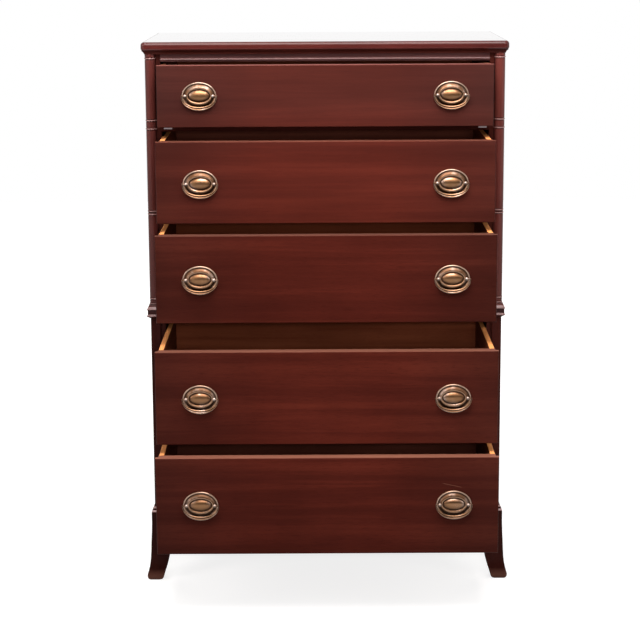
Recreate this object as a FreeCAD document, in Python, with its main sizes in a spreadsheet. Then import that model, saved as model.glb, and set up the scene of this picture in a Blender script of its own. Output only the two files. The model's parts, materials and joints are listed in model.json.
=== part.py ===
import FreeCAD, Part
import Sketcher
import math
import os
import re

# Driving sizes in millimetres, written once and kept in the sheet
sizes = (
    # Case
    ("case_width", "862"),
    ("case_depth", "455"),
    ("corner_width", "35.5"),
    ("base_rise", "12"),
    ("base_rail_height", "60"),
    ("frieze_height", "18"),
    ("reveal", "3"),
    ("post_depth", "30"),
    ("post_setback", "2"),
    ("panel_setback", "4"),
    ("panel_thickness", "16"),
    ("back_thickness", "6"),
    # Top and the board under it
    ("top_thickness", "20"),
    ("top_overhang", "8"),
    ("top_front_overhang", "9"),
    ("top_upper_round", "8"),
    ("top_lower_round", "4.5"),
    ("top_corner_round", "10"),
    ("sub_top_thickness", "9"),
    ("sub_top_overhang", "6"),
    # Turned columns, waist blocks and feet
    ("column_diameter", "25"),
    ("column_stand", "10"),
    ("column_out", "2"),
    ("ring_projection", "1"),
    ("ring_round", "2.2"),
    ("waist_block_height", "34"),
    ("waist_rise", "8"),
    ("waist_projection", "8.5"),
    ("foot_height", "151"),
    ("foot_flare", "21"),
    ("foot_cap_height", "44"),
    ("foot_cap_projection", "8"),
    # Frieze bead, drawer runners, guides and glides
    ("bead_radius", "3"),
    ("bead_rise", "4.5"),
    ("runner_width", "48"),
    ("runner_thickness", "12"),
    ("guide_height", "20"),
    ("glide_inset", "4.5"),
    ("glide_width", "20"),
    ("glide_length", "25"),
    ("glide_thickness", "2"),
    ("glide_drop", "7"),
    # Screws in the back panel
    ("screw_diameter", "4"),
    ("screw_length", "25"),
    ("screw_head_diameter", "8"),
    ("screw_head_height", "2"),
    # Drawer fronts from the top one down, the gaps between them, the room over each and how far each stands open
    ("front_lap", "5"),
    ("front_thickness", "12"),
    ("front_core", "16"),
    ("front_edge_round", "2"),
    ("front_height_1", "147"),
    ("front_height_2", "194"),
    ("front_height_3", "208"),
    ("front_height_4", "222"),
    ("front_height_5", "233"),
    ("gap_1", "27"),
    ("gap_2", "19"),
    ("gap_3", "55"),
    ("gap_4", "20.5"),
    ("head_1", "5"),
    ("head_2", "12"),
    ("head_3", "3"),
    ("head_4", "22"),
    ("head_5", "6"),
    ("open_1", "57"),
    ("open_2", "128"),
    ("open_3", "194"),
    ("open_4", "262"),
    ("open_5", "308"),
    # Drawer boxes
    ("box_back_gap", "25"),
    ("side_thickness", "12"),
    ("side_drop", "1.5"),
    ("bottom_thickness", "6"),
    ("bottom_rise", "8"),
    ("back_drop", "10"),
    # Pulls
    ("pull_inset_1", "101"),
    ("pull_inset_2", "104.5"),
    ("pull_inset_3", "104.5"),
    ("pull_inset_4", "104.5"),
    ("pull_inset_5", "104.5"),
    ("pull_rise_1", "75"),
    ("pull_rise_2", "95"),
    ("pull_rise_3", "104.5"),
    ("pull_rise_4", "111"),
    ("pull_rise_5", "120"),
    ("plate_end", "8.5"),
    ("plate_height", "66"),
    ("dome_height", "9"),
    ("bolt_spacing", "66"),
    ("bolt_diameter", "5"),
    ("bolt_head_diameter", "9"),
    ("bolt_end", "1"),
    ("nut_thickness", "4"),
    ("nut_width", "10"),
    ("bail_axis", "7.5"),
    ("bail_reach", "6.5"),
    ("bail_drop", "35.5"),
    ("bail_thick", "10.6"),
    ("bail_deep", "6.4"),
    ("bail_end", "3.2"),
    ("bail_knuckle", "3.6"),
    ("bail_tip", "2.6"),
    ("bail_tip_end", "1"),
    ("pin_diameter", "3"),
    # Fits
    ("side_clearance", "1.5"),
    ("run_clearance", "0.3"),
    ("bolt_clearance", "0.2"),
    ("pin_clearance", "0.05"),
    ("overrun", "1"),
)

# Sizes that follow from the driving ones
formulas = {
    "case_half": "case_width / 2",
    "open_half": "case_half - corner_width",
    "front_half": "open_half + front_lap",
    "box_half": "open_half - side_clearance",
    "box_inner_half": "box_half - side_thickness",
    "furthest_open": "max(open_1; open_2; open_3; open_4; open_5)",
    "front_reach": "furthest_open + front_thickness + bail_axis + bolt_head_diameter / 2",
    "back_reach": "case_depth + back_thickness + screw_head_height",
    "face_y": "(front_reach - back_reach) / 2",
    "rail_back_y": "face_y + post_depth",
    "rear_post_y": "face_y + case_depth - post_depth",
    "back_y": "face_y + case_depth",
    "back_panel_y": "back_y + back_thickness",
    "post_outer": "case_half - post_setback",
    "panel_outer": "post_outer - panel_setback",
    "panel_inner": "panel_outer - panel_thickness",
    "column_outer": "case_half + column_out",
    "column_x": "column_outer - column_diameter / 2",
    "column_y": "face_y - column_stand + column_diameter / 2",
    "ring_crest": "column_diameter / 2 + ring_projection",
    "rebate_x": "column_x - ring_crest",
    "rebate_depth": "column_diameter / 2 - column_stand + ring_crest",
    "rebate_y": "face_y + rebate_depth",
    "corner_y": "face_y - column_stand",
    "bottom_5": "foot_height + base_rise",
    "bottom_4": "top_5 + gap_4",
    "bottom_3": "top_4 + gap_3",
    "bottom_2": "top_3 + gap_2",
    "bottom_1": "top_2 + gap_1",
    "frieze_bottom": "top_1 + head_1",
    "case_top": "frieze_bottom + frieze_height",
    "top_bottom": "case_top + sub_top_thickness",
    "foot_cap_top": "foot_height + foot_cap_height",
    "waist_top": "bottom_3 + waist_rise",
    "waist_bottom": "waist_top - waist_block_height",
    "column_length": "case_top - waist_top",
    "plate_width": "bolt_spacing + plate_end * 2",
    "bail_width": "bolt_spacing + bail_reach * 2",
    "bolt_radius": "bolt_diameter / 2",
    "bolt_hole_radius": "bolt_radius + bolt_clearance",
}
drawer_count = 5
drawers = range(1, drawer_count + 1)
for drawer in drawers:
    formulas[f"top_{drawer}"] = f"bottom_{drawer} + front_height_{drawer}"
    formulas[f"rail_top_{drawer}"] = f"bottom_{drawer} - reveal"
    formulas[f"runner_top_{drawer}"] = f"rail_top_{drawer} + glide_thickness"
    formulas[f"side_bottom_{drawer}"] = f"runner_top_{drawer} + run_clearance"
    formulas[f"side_top_{drawer}"] = f"top_{drawer} - side_drop"
    formulas[f"lip_y_{drawer}"] = f"face_y - open_{drawer}"
    formulas[f"front_y_{drawer}"] = f"lip_y_{drawer} - front_thickness"
    formulas[f"core_y_{drawer}"] = f"lip_y_{drawer} + front_core"
    formulas[f"box_back_y_{drawer}"] = f"lip_y_{drawer} + case_depth - box_back_gap"
    formulas[f"pull_x_{drawer}"] = f"front_half - pull_inset_{drawer}"
    formulas[f"pull_z_{drawer}"] = f"bottom_{drawer} + pull_rise_{drawer}"

# Shares of the column's length, from its top down to each ring
ring_shares = (0.0165, 0.26, 0.2935, 0.621, 0.633, 0.9755, 0.9955)

# Cove under the top: share of its height, share of its overhang
cove_shares = (
    (0.0, 0.0),
    (0.22, 0.06),
    (0.42, 0.2),
    (0.6, 0.42),
    (0.78, 0.7),
    (0.92, 0.95),
    (1.0, 1.0),
)

# Waist block: share of its height, share of its projection
waist_shares = (
    (0.0, 0.02),
    (0.13, 0.75),
    (0.165, 0.97),
    (0.2, 1.0),
    (0.27, 0.8),
    (0.6, 0.8),
    (0.63, 0.97),
    (0.66, 1.0),
    (0.93, 0.51),
    (1.0, 0.42),
)

# Foot below its cap: share of its height, share of its flare, share of the width kept inside
foot_shares = (
    (0.0, 0.55, 0.33),
    (0.015, 0.8, 0.46),
    (0.045, 0.96, 0.55),
    (0.08, 1.0, 0.6),
    (0.115, 0.9, 0.64),
    (0.16, 0.745, 0.7),
    (0.215, 0.585, 0.78),
    (0.28, 0.445, 0.865),
    (0.36, 0.325, 0.945),
    (0.48, 0.24, 0.99),
    (0.6, 0.19, 1.0),
    (0.84, 0.05, 1.0),
    (1.0, 0.0, 1.0),
)

# Foot cap: share of its height, share of its projection
cap_shares = (
    (0.0, 1.0),
    (0.55, 1.0),
    (0.585, 0.9),
    (0.6, 0.62),
    (0.63, 0.6),
    (0.73, 0.58),
    (0.76, 0.48),
    (0.775, 0.2),
    (0.86, 0.1),
    (1.0, 0.02),
)

# Pull plate from its rim to its dome: share of the width, share of the height, share of the rise
plate_shares = (
    (1.0, 1.0, 0.0),
    (1.0, 1.0, 0.2),
    (0.985, 0.982, 0.31),
    (0.955, 0.945, 0.36),
    (0.92, 0.905, 0.31),
    (0.895, 0.875, 0.18),
    (0.745, 0.715, 0.18),
    (0.73, 0.69, 0.34),
    (0.695, 0.65, 0.5),
    (0.65, 0.57, 0.55),
    (0.61, 0.505, 0.49),
    (0.59, 0.47, 0.32),
    (0.565, 0.425, 0.3),
    (0.55, 0.405, 0.48),
    (0.48, 0.345, 0.72),
    (0.33, 0.235, 0.91),
    (0.15, 0.105, 1.0),
)

# Shares of the post's height at which the back panel is screwed on
screw_shares = (0.04, 0.22, 0.41, 0.59, 0.78, 0.96)

# Half round sections of a bail from its left end to its right end
bail_sections = 17

doc = FreeCAD.newDocument("chest")
sheet = doc.addObject("Spreadsheet::Sheet", "Sizes")
for row, (alias, size_text) in enumerate(sizes, start=1):
    sheet.set(f"A{row}", alias)
    sheet.set(f"B{row}", size_text)
    sheet.setAlias(f"B{row}", alias)
doc.recompute()

aliases = {alias for alias, size_text in sizes}
finished = []


def expression(text):
    def lookup(match):
        word = match.group(0)
        if word in formulas:
            return "(" + expression(formulas[word]) + ")"
        if word in aliases:
            return "Sizes." + word
        return word

    return re.sub(r"[a-z][a-z0-9_]*", lookup, text)


def number(text):
    return float(sheet.evalExpression(expression(text)))


def bind(item, **texts):
    for property_name, text in texts.items():
        item.setExpression(property_name, expression(text))
    return item


def place(item, x, y, z):
    item.setExpression("Placement.Base.x", expression(x))
    item.setExpression("Placement.Base.y", expression(y))
    item.setExpression("Placement.Base.z", expression(z))
    return item


def finish(item, label):
    item.Label = label
    finished.append(item)


def box(name, x, y, z):
    item = doc.addObject("Part::Box", name)
    bind(
        item,
        Length=f"({x[1]}) - ({x[0]})",
        Width=f"({y[1]}) - ({y[0]})",
        Height=f"({z[1]}) - ({z[0]})",
    )
    return place(item, x[0], y[0], z[0])


def cylinder(name, radius, height, x, y, z, rotation):
    item = doc.addObject("Part::Cylinder", name)
    bind(item, Radius=radius, Height=height)
    item.Placement.Rotation = rotation
    return place(item, x, y, z)


def loft(name, sections):
    item = doc.addObject("Part::Loft", name)
    item.Sections = sections
    item.Solid = True
    item.Ruled = True
    return item


def rectangle(name, x, y, z):
    item = doc.addObject("Part::Plane", name)
    bind(item, Length=f"({x[1]}) - ({x[0]})", Width=f"({y[1]}) - ({y[0]})")
    return place(item, x[0], y[0], z)


def group(name, items):
    item = doc.addObject("Part::Compound", name)
    item.Links = items
    return item


def fuse(name, items):
    item = doc.addObject("Part::MultiFuse", name)
    item.Shapes = items
    return item


def cut(name, base, tool):
    item = doc.addObject("Part::Cut", name)
    item.Base = base
    item.Tool = tool
    return item


def mirrored(source):
    item = doc.addObject("Part::Mirroring", source.Name + "Mirror")
    item.Source = source
    item.Normal = FreeCAD.Vector(1, 0, 0)
    return item


def pair(name, source):
    return group(name, [source, mirrored(source)])


def outline(body, role, name):
    plane = next(item for item in body.Origin.OriginFeatures if item.Role == role)
    sketch = body.newObject("Sketcher::SketchObject", name)
    sketch.AttachmentSupport = [(plane, "")]
    sketch.MapMode = "FlatFace"
    return sketch


def hold(sketch, kind, texts, *places):
    index = sketch.addConstraint(Sketcher.Constraint(kind, *places, number(texts)))
    if texts != "0":
        sketch.setExpression(f"Constraints[{index}]", expression(texts))


def polygon(sketch, points):
    corners = [FreeCAD.Vector(number(x), number(y), 0) for x, y in points]
    for index, corner in enumerate(corners):
        following = corners[(index + 1) % len(corners)]
        sketch.addGeometry(Part.LineSegment(corner, following), False)
    for index, (x, y) in enumerate(points):
        following = (index + 1) % len(points)
        sketch.addConstraint(Sketcher.Constraint("Coincident", index, 2, following, 1))
        hold(sketch, "DistanceX", x, -1, 1, index, 1)
        hold(sketch, "DistanceY", y, -1, 1, index, 1)


def circles(sketch, centres, radius):
    for index, (x, y) in enumerate(centres):
        centre = FreeCAD.Vector(number(x), number(y), 0)
        circle = Part.Circle(centre, FreeCAD.Vector(0, 0, 1), number(radius))
        sketch.addGeometry(circle, False)
        hold(sketch, "DistanceX", x, -1, 1, index, 3)
        hold(sketch, "DistanceY", y, -1, 1, index, 3)
        hold(sketch, "Radius", radius, index)


def pad(body, sketch, name, length, is_reversed=False):
    item = body.newObject("PartDesign::Pad", name)
    item.Profile = sketch
    item.Reversed = is_reversed
    bind(item, Length=length)
    doc.recompute()
    return item


def dress(body, name, base, keep, radius):
    edges = [f"Edge{index}" for index, edge in enumerate(base.Shape.Edges, start=1) if keep(edge)]
    item = body.newObject("PartDesign::Fillet", name)
    item.Base = (base, edges)
    bind(item, Radius=radius)
    doc.recompute()
    return item


def same(first, second):
    return math.isclose(first, second, abs_tol=Part.Precision.confusion())


to_front = FreeCAD.Rotation(FreeCAD.Vector(1, 0, 0), 90)
to_right = FreeCAD.Rotation(FreeCAD.Vector(0, 1, 0), 90)
upright = FreeCAD.Rotation()


# Top with rounded edges
def is_front_corner(edge):
    bounds = edge.BoundBox
    return bounds.ZLength > bounds.XLength + bounds.YLength and bounds.YMax < 0


def is_moulded(level):
    def keep(edge):
        bounds = edge.BoundBox
        is_level = same(bounds.ZMin, level) and same(bounds.ZMax, level)
        is_back = same(bounds.YMin, bounds.YMax) and bounds.YMin > 0
        return is_level and not is_back

    return keep


top = doc.addObject("PartDesign::Body", "Top")
sketch = outline(top, "XY_Plane", "TopOutline")
top_x = "column_outer + top_overhang"
top_front = "-column_stand - top_front_overhang"
top_back = "case_depth + back_thickness"
polygon(sketch, ((f"-({top_x})", top_front), (top_x, top_front), (top_x, top_back), (f"-({top_x})", top_back)))
place(top, "0", "face_y", "top_bottom")
board = pad(top, sketch, "TopBoard", "top_thickness")
board = dress(top, "TopCorners", board, is_front_corner, "top_corner_round")
board = dress(top, "TopUpper", board, is_moulded(number("top_thickness")), "top_upper_round")
dress(top, "TopLower", board, is_moulded(0), "top_lower_round")
finish(top, "top_panel")

# Board with a cove under the top
sections = []
for index, (height_share, overhang_share) in enumerate(cove_shares):
    out = f"sub_top_overhang * {overhang_share}"
    section = rectangle(
        f"SubTopSection{index}",
        (f"-column_outer - {out}", f"column_outer + {out}"),
        (f"corner_y - {out}", "back_panel_y"),
        f"case_top + sub_top_thickness * {height_share}",
    )
    sections.append(section)
finish(loft("SubTop", sections), "sub_top")

# Posts, panels and the back
post = doc.addObject("PartDesign::Body", "FrontPost")
sketch = outline(post, "XY_Plane", "FrontPostOutline")
polygon(
    sketch,
    (
        ("open_half", "0"),
        ("rebate_x", "0"),
        ("rebate_x", "rebate_depth"),
        ("post_outer", "rebate_depth"),
        ("post_outer", "post_depth"),
        ("open_half", "post_depth"),
    ),
)
pad(post, sketch, "FrontPostLength", "case_top - foot_height")
place(post, "0", "face_y", "foot_height")
finish(pair("FrontPosts", post), "front_posts")

screws = []
screw_holes = []
screw_x = "(open_half + post_outer) / 2"
for index, share in enumerate(screw_shares):
    z = f"foot_height + (case_top - foot_height) * {share}"
    head_y = "back_panel_y + screw_head_height"
    shank = cylinder(
        f"Shank{index}", "screw_diameter / 2", "screw_length", screw_x, "back_panel_y", z, to_front
    )
    head = cylinder(
        f"Head{index}", "screw_head_diameter / 2", "screw_head_height", screw_x, head_y, z, to_front
    )
    screws.append(fuse(f"Screw{index}", [shank, head]))
    hole = cylinder(
        f"ScrewHole{index}",
        "screw_diameter / 2 + pin_clearance",
        "screw_length + overrun * 2",
        screw_x,
        "back_panel_y + overrun",
        z,
        to_front,
    )
    screw_holes.append(hole)
finish(pair("Screws", group("RightScrews", screws)), "back_screws")
right_holes = group("RightScrewHoles", screw_holes)

post_z = ("foot_height", "case_top")
rear_post = box("RearPost", ("open_half", "post_outer"), ("rear_post_y", "back_y"), post_z)
finish(pair("RearPosts", cut("RearPostDrilled", rear_post, right_holes)), "rear_posts")
back = box("Back", ("-panel_outer", "panel_outer"), ("back_y", "back_panel_y"), post_z)
finish(cut("BackDrilled", back, pair("ScrewHoles", right_holes)), "back_panel")

panel_x = ("panel_inner", "panel_outer")
between_posts = ("rail_back_y", "rear_post_y")
panel = box("SidePanel", panel_x, between_posts, ("rail_top_5", "case_top"))
finish(pair("SidePanels", panel), "side_panels")

# Turned columns over waist blocks, lower posts and feet
shaft = cylinder(
    "Shaft", "column_diameter / 2", "column_length", "column_x", "column_y", "waist_top", upright
)
turned = [shaft]
for index, share in enumerate(ring_shares):
    ring = doc.addObject("Part::Torus", f"Ring{index}")
    bind(ring, Radius1="ring_crest - ring_round", Radius2="ring_round")
    place(ring, "column_x", "column_y", f"case_top - column_length * {share}")
    turned.append(ring)
reach = box(
    "ColumnReach",
    ("column_x - ring_crest - overrun", "column_x + ring_crest + overrun"),
    ("column_y - ring_crest - overrun", "column_y + ring_crest + overrun"),
    ("waist_top", "case_top"),
)
column = doc.addObject("Part::MultiCommon", "Column")
column.Shapes = [fuse("TurnedColumn", turned), reach]
finish(pair("Columns", column), "corner_columns")


def moulded_block(name, bottom, height, projection, shares):
    sections = []
    for index, (height_share, projection_share) in enumerate(shares):
        out = f"{projection} * {projection_share}"
        section = rectangle(
            f"{name}Section{index}",
            ("rebate_x", f"case_half + {out}"),
            (f"corner_y - {out}", "rebate_y"),
            f"{bottom} + {height} * {height_share}",
        )
        sections.append(section)
    return loft(name, sections)


def flared_foot(name, front_edge, back_edge):
    sections = []
    for index, (height_share, flare_share, inner_share) in enumerate(foot_shares):
        out = f"foot_cap_projection + (foot_flare - foot_cap_projection) * {flare_share}"
        section = rectangle(
            f"{name}Section{index}",
            (f"case_half - corner_width * {inner_share}", f"case_half + {out}"),
            (front_edge(out), back_edge(inner_share)),
            f"foot_height * {height_share}",
        )
        sections.append(section)
    return loft(name, sections)


def flared_front(out):
    return f"corner_y - ({out})"


def tapered_back(inner_share):
    return f"corner_y + (column_stand + post_depth) * {inner_share}"


def straight_front(out):
    return "rear_post_y"


def straight_back(inner_share):
    return "back_y"


waist = moulded_block(
    "WaistBlock", "waist_bottom", "waist_block_height", "waist_projection", waist_shares
)
finish(pair("WaistBlocks", waist), "waist_blocks")
lower_post = box(
    "LowerPost", ("rebate_x", "case_half"), ("corner_y", "rebate_y"), ("foot_cap_top", "waist_bottom")
)
finish(pair("LowerPosts", lower_post), "lower_posts")
cap = moulded_block("FootCap", "foot_height", "foot_cap_height", "foot_cap_projection", cap_shares)
foot = flared_foot("FrontFootBlock", flared_front, tapered_back)
finish(pair("FrontFeet", fuse("FrontFoot", [foot, cap])), "front_feet")
rear_foot = flared_foot("RearFoot", straight_front, straight_back)
finish(pair("RearFeet", rear_foot), "rear_feet")

# Rails between the posts, and what carries the drawers
rail_x = ("-open_half", "open_half")
rail_y = ("face_y", "rail_back_y")
frieze = box("Frieze", rail_x, rail_y, ("frieze_bottom", "case_top"))
finish(frieze, "frieze_rail")
bead = doc.addObject("Part::Cylinder", "Bead")
bead.Angle = 180
bind(bead, Radius="bead_radius", Height="open_half * 2")
bead.Placement.Rotation = FreeCAD.Rotation(
    FreeCAD.Vector(0, 0, 1), FreeCAD.Vector(0, -1, 0), FreeCAD.Vector(1, 0, 0), "XYZ"
)
place(bead, "-open_half", "face_y", "frieze_bottom + bead_rise")
finish(bead, "frieze_bead")

rails = {}
for drawer in drawers[:-1]:
    rail_z = (f"top_{drawer + 1} + head_{drawer + 1}", f"rail_top_{drawer}")
    rails[drawer] = box(f"Rail{drawer}", rail_x, rail_y, rail_z)
finish(group("Dividers", [rails[1], rails[2], rails[4]]), "divider_rails")
finish(rails[3], "waist_rail")

base_z = ("rail_top_5 - base_rail_height", "rail_top_5")
base_front = box("BaseFront", rail_x, rail_y, base_z)
base_back = box("BaseBack", rail_x, ("rear_post_y", "back_y"), base_z)
base_side = pair("BaseSides", box("BaseSide", panel_x, between_posts, base_z))
finish(group("BaseRails", [base_front, base_back, base_side]), "base_rails")

runners = []
guides = []
glides = []
for drawer in drawers:
    runner_top = f"runner_top_{drawer}"
    runner_x = ("panel_inner - runner_width", "panel_inner")
    runner_z = (f"{runner_top} - runner_thickness", runner_top)
    runners.append(box(f"Runner{drawer}", runner_x, between_posts, runner_z))
    guide_z = (runner_top, f"{runner_top} + guide_height")
    guides.append(box(f"Guide{drawer}", ("open_half", "panel_inner"), between_posts, guide_z))
    glide_x = ("box_half - glide_inset - glide_width", "box_half - glide_inset")
    glide_front = "face_y - glide_thickness"
    glide_pad = box(
        f"GlidePad{drawer}",
        glide_x,
        (glide_front, f"{glide_front} + glide_length"),
        (f"rail_top_{drawer}", runner_top),
    )
    glide_tab = box(
        f"GlideTab{drawer}",
        glide_x,
        (glide_front, "face_y"),
        (f"rail_top_{drawer} - glide_drop", runner_top),
    )
    glides.append(fuse(f"Glide{drawer}", [glide_pad, glide_tab]))
finish(pair("Runners", group("RightRunners", runners)), "drawer_runners")
finish(pair("Guides", group("RightGuides", guides)), "drawer_guides")
finish(pair("Glides", group("RightGlides", glides)), "drawer_glides")


# Bail with its axis along X through the origin, hanging down
def bail_shape():
    half_width = number("bail_width / 2")
    drop = number("bail_drop - bail_thick / 2")
    end_radius = number("bail_end / 2")
    wires = []
    for index in range(bail_sections):
        share = index / (bail_sections - 1)
        angle = math.pi * (1 + share)
        swell = math.sin(math.pi * share)
        centre = FreeCAD.Vector(half_width * math.cos(angle), 0, drop * math.sin(angle))
        along = FreeCAD.Vector(-half_width * math.sin(angle), 0, drop * math.cos(angle))
        along.normalize()
        outward = FreeCAD.Vector(0, 1, 0).cross(along)
        thick = end_radius + (number("bail_thick / 2") - end_radius) * swell
        deep = end_radius + (number("bail_deep / 2") - end_radius) * swell
        curve = Part.Ellipse(centre + outward * thick, centre + FreeCAD.Vector(0, deep, 0), centre)
        wires.append(Part.Wire(curve.toShape()))
    solid = Part.makeLoft(wires, True, False)
    knuckle = number("bail_knuckle / 2")
    pin_start = number("bolt_spacing / 2 - bolt_head_diameter / 2 - run_clearance")
    for side in (-1, 1):
        towards = FreeCAD.Vector(side, 0, 0)
        joint = towards * half_width
        ball = Part.makeSphere(knuckle, joint)
        pin_length = half_width - pin_start
        pin = Part.makeCylinder(number("pin_diameter / 2"), pin_length, towards * pin_start, towards)
        tip_start = joint + towards * number("bail_end / 2 - bail_tip_end / 2")
        tip = Part.makeCone(
            end_radius, number("bail_tip_end / 2"), number("bail_tip"), tip_start, towards
        )
        solid = solid.fuse([ball, pin, tip])
    return solid.Solids[0]


bail = bail_shape()

# Drawers, each with two pulls
for drawer in drawers:
    label = f"drawer_{drawer}"
    lip_y = f"lip_y_{drawer}"
    front_y = f"front_y_{drawer}"
    core_y = f"core_y_{drawer}"
    back_y = f"box_back_y_{drawer}"
    pull_x = f"pull_x_{drawer}"
    pull_z = f"pull_z_{drawer}"
    height = f"front_height_{drawer}"

    front = doc.addObject("PartDesign::Body", f"Front{drawer}")
    sketch = outline(front, "XZ_Plane", f"Front{drawer}Outline")
    half = "front_half"
    polygon(sketch, ((f"-{half}", "0"), (half, "0"), (half, height), (f"-{half}", height)))
    pad(front, sketch, f"Front{drawer}Board", "front_thickness")
    sketch = outline(front, "XZ_Plane", f"Front{drawer}CoreOutline")
    half = "box_half"
    polygon(sketch, ((f"-{half}", "0"), (half, "0"), (half, height), (f"-{half}", height)))
    board = pad(front, sketch, f"Front{drawer}Core", "front_core", is_reversed=True)
    front_level = board.Shape.BoundBox.YMin
    board = dress(
        front,
        f"Front{drawer}Edge",
        board,
        lambda edge: same(edge.BoundBox.YMax, front_level),
        "front_edge_round",
    )
    sketch = outline(front, "XZ_Plane", f"Front{drawer}Holes")
    bolt_rise = f"pull_rise_{drawer}"
    bolt_places = []
    for side in ("-", ""):
        for offset in ("- bolt_spacing / 2", "+ bolt_spacing / 2"):
            bolt_places.append((f"{side}{pull_x} {offset}", bolt_rise))
    circles(sketch, bolt_places, "bolt_hole_radius")
    drilling = front.newObject("PartDesign::Pocket", f"Front{drawer}Drilling")
    drilling.Profile = sketch
    drilling.Type = "ThroughAll"
    drilling.SideType = "Symmetric"
    place(front, "0", lip_y, f"bottom_{drawer}")
    finish(front, f"{label}_front")

    side_z = (f"side_bottom_{drawer}", f"side_top_{drawer}")
    side = box(f"Side{drawer}", ("box_inner_half", "box_half"), (core_y, back_y), side_z)
    finish(pair(f"Sides{drawer}", side), f"{label}_sides")
    inner_x = ("-box_inner_half", "box_inner_half")
    back_z = (side_z[0], f"{side_z[1]} - back_drop")
    finish(
        box(f"BoxBack{drawer}", inner_x, (f"{back_y} - side_thickness", back_y), back_z),
        f"{label}_back",
    )
    bottom_z = (f"{side_z[0]} + bottom_rise", f"{side_z[0]} + bottom_rise + bottom_thickness")
    finish(
        box(f"BoxBottom{drawer}", inner_x, (core_y, f"{back_y} - side_thickness"), bottom_z),
        f"{label}_bottom",
    )

    rims = []
    for index, (width_share, height_share, rise_share) in enumerate(plate_shares):
        rim = doc.addObject("Part::Ellipse", f"Rim{drawer}x{index}")
        bind(
            rim,
            MajorRadius=f"plate_width / 2 * {width_share}",
            MinorRadius=f"plate_height / 2 * {height_share}",
        )
        rim.Placement.Rotation = to_front
        rims.append(place(rim, pull_x, f"{front_y} - dome_height * {rise_share}", pull_z))
    bolts = []
    plate_holes = []
    axis_y = f"{front_y} - bail_axis"
    for index, offset in enumerate(("- bolt_spacing / 2", "+ bolt_spacing / 2")):
        bolt_x = f"{pull_x} {offset}"
        nut_y = f"{core_y} + nut_thickness"
        hole = cylinder(
            f"PlateHole{drawer}x{index}",
            "bolt_hole_radius",
            "dome_height + overrun * 2",
            bolt_x,
            f"{front_y} + overrun",
            pull_z,
            to_front,
        )
        plate_holes.append(hole)
        shank = cylinder(
            f"BoltShank{drawer}x{index}",
            "bolt_radius",
            "bolt_end + nut_thickness + front_core + front_thickness + bail_axis",
            bolt_x,
            f"{nut_y} + bolt_end",
            pull_z,
            to_front,
        )
        ball = doc.addObject("Part::Sphere", f"BoltHead{drawer}x{index}")
        bind(ball, Radius="bolt_head_diameter / 2")
        place(ball, bolt_x, axis_y, pull_z)
        eye = cylinder(
            f"BoltEye{drawer}x{index}",
            "pin_diameter / 2 + pin_clearance",
            "bolt_head_diameter + overrun * 2",
            f"{bolt_x} - bolt_head_diameter / 2 - overrun",
            axis_y,
            pull_z,
            to_right,
        )
        stem = fuse(f"BoltStem{drawer}x{index}", [shank, ball])
        bolts.append(cut(f"Bolt{drawer}x{index}", stem, eye))
        blank = doc.addObject("Part::Prism", f"NutBlank{drawer}x{index}")
        blank.Polygon = 6
        bind(blank, Circumradius="nut_width / 2", Height="nut_thickness")
        blank.Placement.Rotation = to_front
        place(blank, bolt_x, nut_y, pull_z)
        bore = cylinder(
            f"NutBore{drawer}x{index}",
            "bolt_radius + pin_clearance",
            "nut_thickness + overrun * 2",
            bolt_x,
            f"{nut_y} + overrun",
            pull_z,
            to_front,
        )
        bolts.append(cut(f"Nut{drawer}x{index}", blank, bore))
    plate = loft(f"PlateBlank{drawer}", rims)
    plate = cut(f"Plate{drawer}", plate, group(f"PlateHoles{drawer}", plate_holes))
    finish(pair(f"Plates{drawer}", plate), f"{label}_pull_plates")
    finish(pair(f"Bolts{drawer}", group(f"RightBolts{drawer}", bolts)), f"{label}_pull_bolts")

    for side_name, bail_x in (("left", f"-{pull_x}"), ("right", pull_x)):
        handle = doc.addObject("Part::Feature", f"Bail{drawer}{side_name}")
        handle.Shape = bail
        place(handle, bail_x, axis_y, pull_z)
        finish(handle, f"{label}_{side_name}_bail")

doc.recompute()

for item in doc.Objects:
    if "Invalid" in item.State or "Error" in item.State:
        raise RuntimeError(f"{item.Label} did not build: {item.State}")
os.makedirs("parts", exist_ok=True)
for item in finished:
    shape = item.Shape
    if shape.isNull() or not shape.isValid() or not shape.Solids:
        raise RuntimeError(f"{item.Label} has no valid solid")
    shape.exportStep(f"parts/{item.Label}.step")
    print(item.Label, len(shape.Solids), round(shape.Volume))
print(len(finished), "parts")
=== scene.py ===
import bmesh
import bpy
import json
import math
from mathutils import Matrix, Vector

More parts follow.
